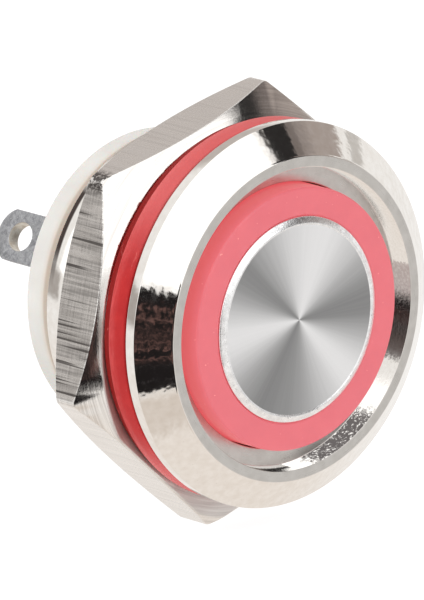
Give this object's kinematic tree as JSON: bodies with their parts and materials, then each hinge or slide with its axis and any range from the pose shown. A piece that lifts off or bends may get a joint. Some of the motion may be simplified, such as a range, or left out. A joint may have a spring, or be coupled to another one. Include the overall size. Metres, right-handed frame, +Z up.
{
  "type": "panel push button",
  "caption": "Metal panel push button with a sprung face disc inside a red light ring, a coned round head, a red seal, a hexagon nut and rear solder lugs.",
  "frame": {"origin": "on the button's axis, in the plane of the rear face of the head's flange, where the head seats on a panel", "axes": "the button's axis is Y, with the face towards -Y and the lugs towards +Y; +Z is up when the panel is upright"},
  "size_m": [0.0246, 0.0181, 0.0254],
  "materials": {
    "polished_nickel": "polished nickel plate on turned brass",
    "spun_stainless": "radially spun stainless disc",
    "red_silicone": "moulded red silicone",
    "translucent_red_plastic": "translucent red polycarbonate",
    "white_nylon": "moulded warm white nylon",
    "black_nylon": "moulded black nylon",
    "black_rubber": "black nitrile rubber",
    "natural_acetal": "natural acetal",
    "spring_steel": "bright spring steel",
    "contact_bronze": "phosphor bronze strip",
    "contact_silver": "silver contact rivet",
    "board_laminate": "green solder resist on laminate",
    "led_lens": "clear moulded light emitting diode",
    "tinned_brass": "tinned brass, dull and mottled",
    "sealant_epoxy": "cured sealing compound"
  },
  "bodies": {
    "housing": {"bezel_housing": "polished_nickel", "panel_seal": "red_silicone", "return_spring": "spring_steel", "led_board": "board_laminate", "led_chip_1": "led_lens", "led_chip_2": "led_lens", "led_chip_3": "led_lens", "led_chip_4": "led_lens", "led_resistor": "black_nylon", "led_lead_plus": "tinned_brass", "led_lead_minus": "tinned_brass", "guide_carrier": "black_nylon", "terminal_base": "white_nylon", "rear_sealant": "sealant_epoxy", "lug_common": "tinned_brass", "lug_normally_open": "tinned_brass", "fixed_rivet_common": "contact_silver", "fixed_rivet_open": "contact_silver", "led_pin_plus": "tinned_brass", "led_pin_minus": "tinned_brass"},
    "button": {"light_ring_plunger": "translucent_red_plastic", "button_cap": "spun_stainless", "plunger_oring": "black_rubber", "plunger_stem": "natural_acetal", "stem_clip": "spring_steel", "contact_bridge": "contact_bronze", "bridge_rivet_common": "contact_silver", "bridge_rivet_open": "contact_silver"},
    "nut": {"hex_nut": "polished_nickel"}
  },
  "joints": [
    {"name": "button_travel", "type": "slide", "parent": "housing", "child": "button", "axis": [0, 1, 0], "range_m": [0, 0.0015], "stiffness_N_per_m": 1500, "springref_m": -0.0015, "deforming": ["return_spring"]},
    {"name": "nut_travel", "type": "slide", "parent": "housing", "child": "nut", "axis": [0, 1, 0], "range_m": [0, 0.0023]}
  ]
}
